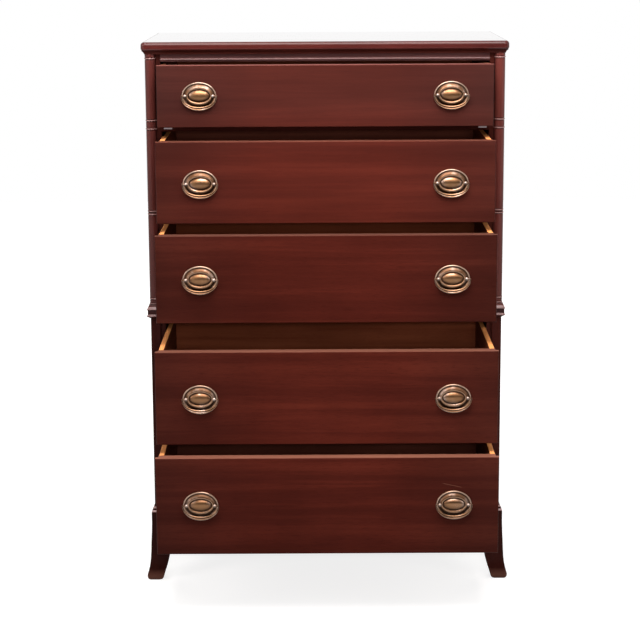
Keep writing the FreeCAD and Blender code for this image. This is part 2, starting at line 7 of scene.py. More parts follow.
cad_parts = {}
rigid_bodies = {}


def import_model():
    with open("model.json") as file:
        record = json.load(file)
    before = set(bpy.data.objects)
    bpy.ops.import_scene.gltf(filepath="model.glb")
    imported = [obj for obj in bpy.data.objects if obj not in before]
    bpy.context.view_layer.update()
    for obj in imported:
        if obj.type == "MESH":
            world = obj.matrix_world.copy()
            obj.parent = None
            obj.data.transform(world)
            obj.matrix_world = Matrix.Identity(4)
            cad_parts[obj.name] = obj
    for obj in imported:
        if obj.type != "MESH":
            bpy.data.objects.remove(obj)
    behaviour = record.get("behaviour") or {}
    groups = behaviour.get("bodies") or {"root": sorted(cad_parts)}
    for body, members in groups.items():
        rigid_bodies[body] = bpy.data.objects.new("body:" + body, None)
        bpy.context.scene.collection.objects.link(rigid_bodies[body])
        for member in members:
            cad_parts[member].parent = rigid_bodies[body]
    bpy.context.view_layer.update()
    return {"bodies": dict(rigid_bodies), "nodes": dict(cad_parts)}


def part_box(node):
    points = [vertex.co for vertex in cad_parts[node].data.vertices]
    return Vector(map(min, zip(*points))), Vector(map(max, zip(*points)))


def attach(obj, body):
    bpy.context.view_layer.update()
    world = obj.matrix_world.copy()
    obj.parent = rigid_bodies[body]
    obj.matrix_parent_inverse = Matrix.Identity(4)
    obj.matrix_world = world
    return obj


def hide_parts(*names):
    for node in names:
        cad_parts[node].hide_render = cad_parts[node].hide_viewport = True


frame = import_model()
nodes = frame["nodes"]
drawerNames = [body for body in frame["bodies"] if body.startswith("drawer") and "bail" not in body]
mm = 0.001
print("frame loaded with", len(nodes), "nodes")

# Camera: its place before the posts' faces in metres, its turns in degrees, its lens in millimetres
cameraSettings = {
    "aside": -0.015,
    "away": 4.615,
    "height": 1.5775,
    "tiltDown": 11.25,
    "roll": -0.285,
    "lens": 107.4,
    "sensor": 36.0,
}


def makeCamera(settings):
    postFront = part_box("front_posts")[0].y
    data = bpy.data.cameras.new("photoCamera")
    data.lens = settings["lens"]
    data.sensor_width = settings["sensor"]
    camera = bpy.data.objects.new("photoCamera", data)
    bpy.context.scene.collection.objects.link(camera)
    place = Matrix.Translation((settings["aside"], postFront - settings["away"], settings["height"]))
    pitch = Matrix.Rotation(math.radians(90 - settings["tiltDown"]), 4, "X")
    roll = Matrix.Rotation(math.radians(settings["roll"]), 4, "Z")
    camera.matrix_world = place @ pitch @ roll
    bpy.context.scene.camera = camera


makeCamera(cameraSettings)
print("camera placed")


# A colour is written as three numbers in linear light
def setInputs(tree, node, inputs):
    for name, value in inputs.items():
        socket = node.inputs[name]
        if isinstance(value, bpy.types.NodeSocket):
            tree.links.new(value, socket)
        elif socket.type == "RGBA":
            socket.default_value = (*value, 1.0)
        else:
            socket.default_value = value


def addNode(tree, kind, inputs=None, **settings):
    node = tree.nodes.new(kind)
    for name, value in settings.items():
        setattr(node, name, value)
    setInputs(tree, node, inputs or {})
    return node


def addNoise(tree, vector, scale, detail, rough=0.5, output="Fac"):
    inputs = {"Vector": vector, "Scale": scale, "Detail": detail, "Roughness": rough}
    return addNode(tree, "ShaderNodeTexNoise", inputs).outputs[output]


def addRamp(tree, factor, stops):
    ramp = addNode(tree, "ShaderNodeValToRGB", {"Fac": factor})
    elements = ramp.color_ramp.elements
    while len(elements) < len(stops):
        elements.new(0.5)
    for element, (place, color) in zip(elements, stops):
        element.position = place
        element.color = (*color, 1.0)
    return ramp.outputs["Color"]


def addRange(tree, value, span, result=(0.0, 1.0)):
    limits = {"From Min": span[0], "From Max": span[1], "To Min": result[0], "To Max": result[1]}
    return addNode(tree, "ShaderNodeMapRange", {"Value": value, **limits}).outputs["Result"]


def addMath(tree, operation, first, second=0.0):
    return addNode(tree, "ShaderNodeMath", {0: first, 1: second}, operation=operation).outputs["Value"]


def addVector(tree, operation, first, second):
    return addNode(tree, "ShaderNodeVectorMath", {0: first, 1: second}, operation=operation).outputs["Vector"]


def addBump(tree, height, strength, depth):
    inputs = {"Height": height, "Strength": strength, "Distance": depth}
    return addNode(tree, "ShaderNodeBump", inputs).outputs["Normal"]


def pickAxis(tree, vector, axis):
    return addNode(tree, "ShaderNodeSeparateXYZ", {"Vector": vector}).outputs[axis]


def mixValue(tree, factor, first, second):
    return addNode(tree, "ShaderNodeMix", {0: factor, 2: first, 3: second}).outputs[0]


def mixColor(tree, factor, first, second, blend="MIX"):
    inputs = {0: factor, 6: first, 7: second}
    return addNode(tree, "ShaderNodeMix", inputs, data_type="RGBA", blend_type=blend).outputs[2]


def shadeColor(tree, color, shade):
    return mixColor(tree, 1.0, color, shade, "MULTIPLY")


def startMaterial(name):
    material = bpy.data.materials.new(name)
    material.use_nodes = True
    return material, material.node_tree, material.node_tree.nodes["Principled BSDF"]


# Studio: white surroundings, soft lamps, and a dark and a pale card that only reflections show
studio = {
    "white": (1.0, 1.0, 1.0),
    "surroundColor": (0.8, 0.8, 0.8),
    "surroundSpan": (-0.95, -0.5),  # from straight behind the camera round to the sides
    "surroundLight": (0.15, 0.24),
    "floorSize": 14.0,
    "floorColor": (0.46, 0.455, 0.45),
    "floorGlow": (0.8, 1.0),
    "glowReach": (0.9, 2.4),
    "bounceColor": (0.20, 0.185, 0.175),
    "lampColor": (1.0, 0.95, 0.93),
    "lamps": (
        {"name": "overheadLamp", "place": (0.0, -1.2, 2.7), "aim": (0.0, -0.1, 0.7),
         "size": (1.6, 1.6), "power": 80.0, "mirrored": True},
        {"name": "frontLamp", "place": (0.2, -4.6, 1.58), "aim": (0.0, 0.0, 1.1),
         "size": (1.2, 0.2), "power": 62.0, "mirrored": False},
        {"name": "leftLamp", "place": (-3.0, -2.0, 2.2), "aim": (0.0, 0.0, 0.8),
         "size": (1.4, 1.4), "power": 32.0, "mirrored": True},
        {"name": "rightLamp", "place": (3.0, -2.0, 2.2), "aim": (0.0, 0.0, 0.8),
         "size": (1.4, 1.4), "power": 15.0, "mirrored": True},
        {"name": "rearLeftLamp", "place": (-2.3, 3.2, 2.4), "aim": (0.0, 0.3, 0.7),
         "size": (1.6, 1.6), "power": 45.0, "mirrored": False},
        {"name": "rearRightLamp", "place": (2.3, 3.2, 2.4), "aim": (0.0, 0.3, 0.7),
         "size": (1.6, 1.6), "power": 45.0, "mirrored": False},
    ),
    "cards": (
        {"name": "darkCard", "place": (1.8, -6.4, 1.6), "size": (9.0, 4.6), "tilt": 90.0,
         "color": (0.03, 0.028, 0.028), "glow": 0.0},
        {"name": "paleCard", "place": (0.0, -3.3, 2.5), "size": (2.6, 1.2), "tilt": 65.0,
         "color": (1.0, 0.94, 0.9), "glow": 3.0},
    ),
}


def seesBackground(tree):
    path = addNode(tree, "ShaderNodeLightPath").outputs
    direct = addMath(tree, "MAXIMUM", path["Is Camera Ray"], path["Is Glossy Ray"])
    return addMath(tree, "MAXIMUM", direct, path["Is Transmission Ray"])


def makeWorld(settings):
    world = bpy.data.worlds.new("whiteSurroundings")
    bpy.context.scene.world = world
    world.use_nodes = True
    tree = world.node_tree
    tree.nodes.clear()
    direction = addNode(tree, "ShaderNodeTexCoord").outputs["Generated"]
    depth = pickAxis(tree, direction, "Y")
    level = addRange(tree, depth, settings["surroundSpan"], settings["surroundLight"])
    light = addNode(tree, "ShaderNodeBackground", {"Color": settings["surroundColor"], "Strength": level})
    white = addNode(tree, "ShaderNodeBackground", {"Color": settings["white"], "Strength": 1.0})
    inputs = {0: seesBackground(tree), 1: light.outputs["Background"], 2: white.outputs["Background"]}
    mix = addNode(tree, "ShaderNodeMixShader", inputs)
    addNode(tree, "ShaderNodeOutputWorld", {"Surface": mix.outputs["Shader"]})


def makeSheet(name, size, matrix):
    mesh = bpy.data.meshes.new(name)
    shape = bmesh.new()
    bmesh.ops.create_grid(shape, x_segments=1, y_segments=1, size=0.5)
    bmesh.ops.scale(shape, vec=(size[0], size[1], 1.0), verts=shape.verts)
    bmesh.ops.transform(shape, matrix=matrix, verts=shape.verts)
    shape.to_mesh(mesh)
    shape.free()
    sheet = bpy.data.objects.new(name, mesh)
    bpy.context.scene.collection.objects.link(sheet)
    return sheet


def makeFloor(settings):
    floor = makeSheet("floor", (settings["floorSize"], settings["floorSize"]), Matrix.Identity(4))
    material, tree = startMaterial("paleFloor")[:2]
    tree.nodes.clear()
    paper = addNode(tree, "ShaderNodeBsdfDiffuse", {"Color": settings["floorColor"]})
    bounce = addNode(tree, "ShaderNodeBsdfDiffuse", {"Color": settings["bounceColor"]})
    place = addNode(tree, "ShaderNodeTexCoord").outputs["Object"]
    away = addNode(tree, "ShaderNodeVectorMath", {0: place}, operation="LENGTH").outputs["Value"]
    level = addRange(tree, away, settings["glowReach"], settings["floorGlow"])
    glow = addNode(tree, "ShaderNodeEmission", {"Color": settings["white"], "Strength": level})
    both = addNode(tree, "ShaderNodeAddShader", {0: paper.outputs["BSDF"], 1: glow.outputs["Emission"]})
    inputs = {0: seesBackground(tree), 1: bounce.outputs["BSDF"], 2: both.outputs["Shader"]}
    mix = addNode(tree, "ShaderNodeMixShader", inputs)
    addNode(tree, "ShaderNodeOutputMaterial", {"Surface": mix.outputs["Shader"]})
    floor.data.materials.append(material)


def makeCards(settings):
    for card in settings["cards"]:
        stand = Matrix.Translation(card["place"]) @ Matrix.Rotation(math.radians(card["tilt"]), 4, "X")
        sheet = makeSheet(card["name"], card["size"], stand)
        sheet.visible_camera = False
        sheet.visible_diffuse = False
        sheet.visible_shadow = False
        material, tree, shader = startMaterial(card["name"])
        setInputs(tree, shader, {
            "Base Color": card["color"],
            "Roughness": 1.0,
            "Specular IOR Level": 0.0,
            "Emission Color": card["color"],
            "Emission Strength": card["glow"],
        })
        sheet.data.materials.append(material)


def makeLamps(settings):
    for lamp in settings["lamps"]:
        data = bpy.data.lights.new(lamp["name"], "AREA")
        data.shape = "RECTANGLE"
        data.size, data.size_y = lamp["size"]
        data.energy = lamp["power"]
        data.color = settings["lampColor"]
        light = bpy.data.objects.new(lamp["name"], data)
        light.visible_glossy = lamp["mirrored"]
        bpy.context.scene.collection.objects.link(light)
        aim = Vector(lamp["aim"]) - Vector(lamp["place"])
        turn = aim.to_track_quat("-Z", "Y").to_matrix().to_4x4()
        light.matrix_world = Matrix.Translation(lamp["place"]) @ turn


makeWorld(studio)
makeFloor(studio)
makeCards(studio)
makeLamps(studio)
bpy.context.scene.view_settings.view_transform = "Standard"
print("studio made")


def startGroup(name, inputs, outputs):
    tree = bpy.data.node_groups.new(name, "ShaderNodeTree")
    for way, sockets in (("INPUT", inputs), ("OUTPUT", outputs)):
        for socketName, kind in sockets.items():
            tree.interface.new_socket(socketName, in_out=way, socket_type="NodeSocket" + kind)
    return tree, tree.nodes.new("NodeGroupInput").outputs, tree.nodes.new("NodeGroupOutput").inputs


# Wood grain shared by every timber, streaked along the axis that its vector squeezes
grainSettings = {
    "drift": {"scale": 0.3, "detail": 1.0},
    "bend": (0.0, 1.6, 1.6),
    "broad": {"scale": 1.0, "detail": 6.0, "rough": 0.66},
    "cloud": {"scale": 0.1, "detail": 2.0},
    "cloudShare": 0.5,
    "darkToMiddle": (0.34, 0.54),
    "middleToLight": (0.5, 0.68),
    "pores": {"scale": 38.0, "detail": 2.0, "rough": 0.6},
    "poreSpan": (0.28, 0.46),
    "poreShade": (0.62, 1.0),
    "patches": {"scale": 4.2, "detail": 3.0},
    "patchSpan": (0.32, 0.68),
    "patchShade": (0.84, 1.16),
}


def makeGrainGroup(settings):
    tree, given, result = startGroup(
        "woodGrain",
        {"Vector": "Vector", "Place": "Vector", "Dark": "Color", "Middle": "Color", "Light": "Color"},
        {"Color": "Color", "Streaks": "Float", "Pores": "Float"},
    )
    vector = given["Vector"]
    drift = addNoise(tree, vector, **settings["drift"], output="Color")
    path = addVector(tree, "ADD", vector, addVector(tree, "MULTIPLY", drift, settings["bend"]))
    broad = addNoise(tree, path, **settings["broad"])
    cloud = addNoise(tree, vector, **settings["cloud"])
    streaks = mixValue(tree, settings["cloudShare"], broad, cloud)
    color = mixColor(tree, addRange(tree, streaks, settings["darkToMiddle"]), given["Dark"], given["Middle"])
    color = mixColor(tree, addRange(tree, streaks, settings["middleToLight"]), color, given["Light"])
    pores = addNoise(tree, path, **settings["pores"])
    pores = addRange(tree, pores, settings["poreSpan"], settings["poreShade"])
    patches = addNoise(tree, given["Place"], **settings["patches"])
    color = shadeColor(tree, color, pores)
    color = shadeColor(tree, color, addRange(tree, patches, settings["patchSpan"], settings["patchShade"]))
    tree.links.new(color, result["Color"])
    tree.links.new(streaks, result["Streaks"])
    tree.links.new(pores, result["Pores"])
    return tree


# Mask of the faces that look up, where light from above is painted paler, broken up unevenly by noise
upperSettings = {
    "facing": (0.45, 0.85),
    "patches": {"scale": 1.2, "detail": 4.0},
    "patchSpan": (0.3, 0.6),
    "patchShare": (0.7, 1.0),
}


def makeUpperGroup(settings):
    inputs = {"Normal": "Vector", "Vector": "Vector"}
    tree, given, result = startGroup("upperFaces", inputs, {"Mask": "Float"})
    facing = addRange(tree, pickAxis(tree, given["Normal"], "Z"), settings["facing"])
    patches = addNoise(tree, given["Vector"], **settings["patches"])
    wear = addRange(tree, patches, settings["patchSpan"], settings["patchShare"])
    tree.links.new(addMath(tree, "MULTIPLY", facing, wear), result["Mask"])
    return tree


grainGroup = makeGrainGroup(grainSettings)
upperGroup = makeUpperGroup(upperSettings)
print("node groups made")

# Timbers: axes that the grain runs along, its colours, its fineness along and across, gloss
# Some have upper faces painted paler with light from above, and the moulded ones have grooves painted with
# shade and crests and ledges painted with highlights
timbers = {
    "frontMahogany": {
        "axes": "X",
        "dark": (0.040, 0.0064, 0.0039), "middle": (0.070, 0.0115, 0.0070), "light": (0.108, 0.0191, 0.0107),
        "along": 1.3, "across": 34.0, "rough": (0.46, 0.36), "specular": 0.035, "coat": 0.0, "bump": 0.04,
    },
    "caseMahogany": {
        "axes": "XZ",
        "dark": (0.026, 0.0056, 0.0042), "middle": (0.039, 0.0082, 0.0060), "light": (0.058, 0.0122, 0.0085),
        "upper": (0.20, 0.095, 0.078),
        "along": 1.6, "across": 36.0, "rough": (0.42, 0.32), "specular": 0.03, "coat": 0.015, "bump": 0.04,
    },
    "turnedMahogany": {
        "axes": "X",
        "dark": (0.068, 0.0270, 0.0260), "middle": (0.096, 0.0380, 0.0370), "light": (0.130, 0.0500, 0.0480),
        "upper": (0.30, 0.16, 0.145),
        "along": 1.6, "across": 36.0, "rough": (0.34, 0.26), "specular": 0.15, "coat": 0.5, "bump": 0.03,
    },
    "columnMahogany": {
        "axes": "Z",
        "dark": (0.065, 0.0150, 0.0125), "middle": (0.096, 0.0225, 0.0185), "light": (0.136, 0.0320, 0.0255),
        "groove": (0.028, 0.0040, 0.0038), "crest": (0.38, 0.23, 0.215), "ledge": (0.30, 0.19, 0.185),
        "along": 1.6, "across": 36.0, "rough": (0.34, 0.26), "specular": 0.12, "coat": 0.18, "bump": 0.03,
    },
    "footMahogany": {
        "axes": "Z",
        "dark": (0.021, 0.0046, 0.0034), "middle": (0.030, 0.0066, 0.0048), "light": (0.042, 0.0092, 0.0066),
        "groove": (0.028, 0.0050, 0.0050), "crest": (0.19, 0.09, 0.075), "ledge": (0.60, 0.43, 0.43),
        "along": 1.6, "across": 36.0, "rough": (0.42, 0.32), "specular": 0.03, "coat": 0.015, "bump": 0.04,
    },
    "topMahogany": {
        "axes": "X",
        "dark": (0.048, 0.0088, 0.0074), "middle": (0.068, 0.0124, 0.0104), "light": (0.094, 0.0178, 0.0142),
        "along": 1.3, "across": 30.0, "rough": (0.26, 0.2), "specular": 0.22, "coat": 1.0, "bump": 0.02,
        "sideCoat": 0.04, "flatFacing": (0.985, 0.998), "flatRough": 0.07, "coatRough": 0.03, "coatIor": 1.9,
    },
    "drawerWood": {
        "axes": "XY",
        "dark": (0.095, 0.024, 0.0105), "middle": (0.145, 0.038, 0.017), "light": (0.20, 0.056, 0.025),
        "upper": (0.93, 0.38, 0.125),
        "along": 2.0, "across": 60.0, "rough": (0.65, 0.5), "specular": 0.06, "coat": 0.0, "bump": 0.06,
    },
    # Darker drawer wood: painted shade inside the drawers seen through their gaps
    "agedWood": {
        "axes": "X",
        "dark": (0.050, 0.015, 0.0095), "middle": (0.078, 0.023, 0.0150), "light": (0.11, 0.034, 0.021),
        "along": 2.0, "across": 60.0, "rough": (0.65, 0.5), "specular": 0.06, "coat": 0.0, "bump": 0.06,
    },
    "caseWood": {
        "axes": "XYZ",
        "dark": (0.115, 0.036, 0.015), "middle": (0.165, 0.055, 0.024), "light": (0.21, 0.076, 0.034),
        "along": 2.4, "across": 50.0, "rough": (0.75, 0.6), "specular": 0.15, "coat": 0.0, "bump": 0.08,
    },
}

# What every timber shares unless it says otherwise
plainTimber = {
    "glossSpan": (0.3, 0.7),
    "poreDepth": 1 * mm,
    "coatRough": 0.08,
    "coatIor": 1.5,
    # Spans of the painted light level: painted shade in grooves, painted highlights on crests and ledges, and
    # where the coat shows
    "grooveWear": (0.42, 0.12),
    "crestWear": (0.8, 1.0),
    "ledgeWear": (1.0, 1.5),
    "coatWear": (0.1, 0.45),
}

# How the fronts change with height and from side to side, in metres: a painted sheen on the top front,
# painted shade to the left, at the ends and towards the bottom, and top edges painted paler with light from
# above
frontTones = {
    "warm": (0.098, 0.0180, 0.0120), "warmHeights": (0.85, 1.0), "warmShare": (0.0, 0.45),
    "haze": (0.064, 0.0250, 0.0215), "hazeHeights": (1.08, 1.2), "hazeShare": (0.0, 0.30),
    "streakSpan": (0.38, 0.62), "streakShade": (0.82, 1.18), "streakHeights": (0.85, 1.1),
    "sides": (-0.4, 0.4), "sideShade": (0.92, 1.09),
    "endReach": (0.15, 0.43), "endTint": (0.68, 0.92, 1.04),
    "lowHeights": (0.15, 0.45), "lowShade": (0.8, 1.0),
    "highHeights": (1.19, 1.275), "highEnds": (0.2, 0.8), "highShade": (1.0, 0.8),
    "edgeHeights": (0.35, 1.3),
    "edgeColors": (
        (0.03, (0.255, 0.100, 0.064)), (0.58, (0.130, 0.050, 0.034)),
        (0.8, (0.150, 0.049, 0.031)), (0.98, (0.222, 0.078, 0.064)),
    ),
}

# Pale scratch on the bottom front and paler toes, in metres
marks = {
    "scratchSides": (0.268, 0.316),
    "scratchHeights": (0.3335, 0.32294),
    "scratchWidth": 0.0011,
    "scratchTaper": 0.12,
    "scratchColor": (0.16, 0.062, 0.042),
    "toeHeights": (0.0, 0.028),
    "toeShare": (0.85, 0.0),
    "toeColor": (0.205, 0.086, 0.060),
}


def toneFronts(tree, place, streaks, color, tones):
    level = pickAxis(tree, place, "Z")
    # A warmer tone on the higher fronts, then a painted sheen on the top one
    for part in ("warm", "haze"):
        share = addRange(tree, level, tones[part + "Heights"], tones[part + "Share"])
        color = mixColor(tree, share, color, tones[part])
    streakShade = addRange(tree, streaks, tones["streakSpan"], tones["streakShade"])
    color = mixColor(tree, addRange(tree, level, tones["streakHeights"]), color, streakShade, "MULTIPLY")
    # Painted shade: darker to the left and lighter to the right, and darker at the ends
    side = pickAxis(tree, place, "X")
    color = shadeColor(tree, color, addRange(tree, side, tones["sides"], tones["sideShade"]))
    ends = addRange(tree, addMath(tree, "ABSOLUTE", side), tones["endReach"])
    color = mixColor(tree, ends, color, tones["endTint"], "MULTIPLY")
    # Painted shade towards the bottom; the top front is also darker over its upper part, away from its ends
    color = shadeColor(tree, color, addRange(tree, level, tones["lowHeights"], tones["lowShade"]))
    middle = addRange(tree, ends, tones["highEnds"], (1.0, 0.0))
    high = addMath(tree, "MULTIPLY", addRange(tree, level, tones["highHeights"]), middle)
    return shadeColor(tree, color, addRange(tree, high, (0.0, 1.0), tones["highShade"]))


def scratchMask(tree, place, settings):
    along = addRange(tree, pickAxis(tree, place, "X"), settings["scratchSides"])
    line = addRange(tree, along, (0.0, 1.0), settings["scratchHeights"])
    off = addMath(tree, "ABSOLUTE", addMath(tree, "SUBTRACT", pickAxis(tree, place, "Z"), line))
    near = addRange(tree, off, (0.0, settings["scratchWidth"]), (1.0, 0.0))
    ends = addRange(tree, addMath(tree, "PINGPONG", along, 0.5), (0.0, settings["scratchTaper"]))
    return addMath(tree, "MULTIPLY", near, ends)


def makeTimber(name, timber, axis):
    material, tree, shader = startMaterial(name)
    coords = addNode(tree, "ShaderNodeTexCoord").outputs
    place = coords["Object"]
    stretch = [timber["across"]] * 3
    stretch["XYZ".index(axis)] = timber["along"]
    mapped = addNode(tree, "ShaderNodeMapping", {"Vector": place, "Scale": stretch}).outputs["Vector"]
    shades = {"Dark": timber["dark"], "Middle": timber["middle"], "Light": timber["light"]}
    inputs = {"Vector": mapped, "Place": place, **shades}
    grain = addNode(tree, "ShaderNodeGroup", inputs, node_tree=grainGroup).outputs
    color = grain["Color"]
    gloss = addRange(tree, grain["Streaks"], timber["glossSpan"], timber["rough"])
    coat = timber["coat"]
    isFront = name.startswith("frontMahogany")
    if isFront:
        color = toneFronts(tree, place, grain["Streaks"], color, frontTones)
    # Painted shade in the grooves and painted highlights on the crests and ledges, set by the painted light
    # attribute, which also sets the coat
    if "groove" in timber:
        wear = addNode(tree, "ShaderNodeAttribute", attribute_name="wear").outputs["Fac"]
        for part in ("groove", "crest", "ledge"):
            color = mixColor(tree, addRange(tree, wear, timber[part + "Wear"]), color, timber[part])
        coat = addRange(tree, wear, timber["coatWear"], (0.0, timber["coat"]))
    # Faces that look up are painted paler with light from above; on the fronts the colour of that painted
    # light changes with height
    if isFront or "upper" in timber:
        inputs = {"Normal": coords["Normal"], "Vector": mapped}
        upper = addNode(tree, "ShaderNodeGroup", inputs, node_tree=upperGroup).outputs["Mask"]
        if isFront:
            height = addRange(tree, pickAxis(tree, place, "Z"), frontTones["edgeHeights"])
            pale = addRamp(tree, height, frontTones["edgeColors"])
        else:
            pale = timber["upper"]
        color = mixColor(tree, upper, color, pale)
    if isFront:
        color = mixColor(tree, scratchMask(tree, place, marks), color, marks["scratchColor"])
    if name.startswith("footMahogany"):
        toe = addRange(tree, pickAxis(tree, place, "Z"), marks["toeHeights"], marks["toeShare"])
        color = mixColor(tree, toe, color, marks["toeColor"])
    if "sideCoat" in timber:  # the flat of the top is polished more than its edge
        flat = addRange(tree, pickAxis(tree, coords["Normal"], "Z"), timber["flatFacing"])
        coat = addRange(tree, flat, (0.0, 1.0), (timber["sideCoat"], timber["coat"]))
        gloss = mixValue(tree, flat, gloss, timber["flatRough"])
    setInputs(tree, shader, {
        "Base Color": color,
        "Roughness": gloss,
        "Normal": addBump(tree, grain["Pores"], timber["bump"], timber["poreDepth"]),
        "Specular IOR Level": timber["specular"],
        "Coat Weight": coat,
        "Coat Roughness": timber["coatRough"],
        "Coat IOR": timber["coatIor"],
    })
    return material


finishes = {}
for timberName, timber in timbers.items():
    for axis in timber["axes"]:
        finishes[timberName + axis] = makeTimber(timberName + axis, {**plainTimber, **timber}, axis)
print("timbers made:", len(finishes))

# Brass: dark with patina in the hollows, with painted shade underneath and painted light on top, and rubbed
# bright on the crests, which also paints their highlights
# The pieces carry a patina, above 0 in the hollows, -1 on the golden domes and -2 on the crests
brass = {
    "hollow": (0.034, 0.015, 0.008),
    "dark": (0.105, 0.045, 0.020),
    "middle": (0.178, 0.089, 0.046),
    "bright": (0.46, 0.365, 0.320),
    "gold": (0.345, 0.174, 0.080),
    "clouds": {"scale": 45.0, "detail": 4.0, "rough": 0.55},
    "darkToMiddle": (0.25, 0.6),
    "middleToBright": (0.5, 0.85),
    "goldPatina": (-0.2, -1.0),
    "goldShare": (0.0, 0.8),
    "brightPatina": (-1.1, -2.0),
    "brightShare": (0.0, 0.85),
    "facing": (-0.35, 0.35),
    "underAndOver": (0.4, 1.25),
    "domePatina": (-0.1, -0.7),
    "domeUnderAndOver": (0.36, 1.12),
    "rimPatina": (-1.0, -1.7),
    "rimUnderAndOver": (0.75, 1.0),
    "heights": (0.25, 0.8),
    "heightShade": (0.8, 1.0),
    "hollowClouds": (0.25, 0.7),
    "hollowShare": (1.0, 0.85),
    "hollowRough": 0.2,
    "roughClouds": (0.3, 0.7),
    "rough": (0.37, 0.27),
    "specks": {"scale": 350.0, "detail": 2.0},
    "speckBump": 0.02,
    "speckDepth": 0.5 * mm,
    "lacquer": 0.12,
    "lacquerRough": 0.14,
}

# The posts of the pulls are paler, rubbed by fingers and painted with a highlight
rubbedBrass = {
    **brass,
    "dark": (0.27, 0.19, 0.150),
    "middle": (0.42, 0.32, 0.270),
    "bright": (0.58, 0.50, 0.460),
    "underAndOver": (0.4, 1.2),
}


def makeBrass(name, settings):
    material, tree, shader = startMaterial(name)
    coords = addNode(tree, "ShaderNodeTexCoord").outputs
    place = coords["Object"]
    clouds = addNoise(tree, place, **settings["clouds"])
    patina = addNode(tree, "ShaderNodeAttribute", attribute_name="patina").outputs["Fac"]
    toMiddle = addRange(tree, clouds, settings["darkToMiddle"])
    color = mixColor(tree, toMiddle, settings["dark"], settings["middle"])
    color = mixColor(tree, addRange(tree, clouds, settings["middleToBright"]), color, settings["bright"])
    for part in ("gold", "bright"):
        share = addRange(tree, patina, settings[part + "Patina"], settings[part + "Share"])
        color = mixColor(tree, share, color, settings[part])

    # Painted shade and light: faces that look down are darker and those that look up lighter, each part by
    # its own measure, and the lower pulls are darker
    facing = pickAxis(tree, coords["Normal"], "Z")
    shade = addRange(tree, facing, settings["facing"], settings["underAndOver"])
    for part in ("dome", "rim"):
        partShade = addRange(tree, facing, settings["facing"], settings[part + "UnderAndOver"])
        shade = mixValue(tree, addRange(tree, patina, settings[part + "Patina"]), shade, partShade)
    color = shadeColor(tree, color, shade)
    height = pickAxis(tree, place, "Z")
    color = shadeColor(tree, color, addRange(tree, height, settings["heights"], settings["heightShade"]))

    hollow = addMath(tree, "MAXIMUM", patina, 0.0)
    hollowShare = addRange(tree, clouds, settings["hollowClouds"], settings["hollowShare"])
    color = mixColor(tree, addMath(tree, "MULTIPLY", hollow, hollowShare), color, settings["hollow"])
    rough = addRange(tree, clouds, settings["roughClouds"], settings["rough"])
    rough = addMath(tree, "ADD", rough, addMath(tree, "MULTIPLY", hollow, settings["hollowRough"]))
    specks = addNoise(tree, place, **settings["specks"])
    setInputs(tree, shader, {
        "Base Color": color,
        "Roughness": rough,
        "Normal": addBump(tree, specks, settings["speckBump"], settings["speckDepth"]),
        "Metallic": 1.0,
        "Coat Weight": settings["lacquer"],
        "Coat Roughness": settings["lacquerRough"],
    })
    return material


# Glides and screws: two colours and the roughness that their clouds mix
plainFinishes = {
    "glideNylon": {
        "colors": ((0.40, 0.37, 0.40), (0.52, 0.48, 0.50)), "rough": (0.3, 0.42), "metallic": 0.0,
        "clouds": {"scale": 90.0, "detail": 4.0}, "cloudSpan": (0.3, 0.7), "bump": 0.05, "depth": 0.5 * mm,
    },
    "dullSteel": {
        "colors": ((0.3, 0.3, 0.3), (0.45, 0.45, 0.46)), "rough": (0.35, 0.5), "metallic": 1.0,
        "clouds": {"scale": 140.0, "detail": 4.0}, "cloudSpan": (0.3, 0.7), "bump": 0.05, "depth": 0.5 * mm,
    },
}


def makePlain(name, settings):
    material, tree, shader = startMaterial(name)
    place = addNode(tree, "ShaderNodeTexCoord").outputs["Object"]
    clouds = addNoise(tree, place, **settings["clouds"])
    setInputs(tree, shader, {
        "Base Color": addRamp(tree, clouds, tuple(zip(settings["cloudSpan"], settings["colors"]))),
        "Roughness": addRange(tree, clouds, settings["cloudSpan"], settings["rough"]),
        "Normal": addBump(tree, clouds, settings["bump"], settings["depth"]),
        "Metallic": settings["metallic"],
    })
    return material


finishes["agedBrass"] = makeBrass("agedBrass", brass)
finishes["rubbedBrass"] = makeBrass("rubbedBrass", rubbedBrass)
for finishName, settings in plainFinishes.items():
    finishes[finishName] = makePlain(finishName, settings)
print("finishes made:", len(finishes))

# Which finish goes on which CAD node, and how much its sharp edges are eased, in millimetres
nodeFinishes = {
    "top_panel": ("topMahoganyX", 0.0),
    "sub_top": ("caseMahoganyX", 0.0),
    "frieze_rail": ("turnedMahoganyX", 0.0),
    "frieze_bead": ("turnedMahoganyX", 0.0),
    "divider_rails": ("caseMahoganyX", 0.6),
    "waist_rail": ("caseMahoganyX", 0.6),
    "base_rails": ("caseMahoganyX", 1.0),
    "front_posts": ("caseMahoganyZ", 0.8),
    "rear_posts": ("caseMahoganyZ", 1.5),
    "side_panels": ("caseMahoganyZ", 0.0),
    "corner_columns": ("caseMahoganyZ", 0.0),
    "waist_blocks": ("turnedMahoganyX", 0.5),
    "lower_posts": ("caseMahoganyZ", 1.5),
    "front_feet": ("caseMahoganyZ", 0.0),
    "rear_feet": ("caseMahoganyZ", 0.0),
    "back_panel": ("caseWoodZ", 0.0),
    "drawer_runners": ("caseWoodY", 0.8),
    "drawer_guides": ("caseWoodY", 0.8),
    "drawer_glides": ("glideNylon", 0.5),
    "back_screws": ("dullSteel", 0.0),
}
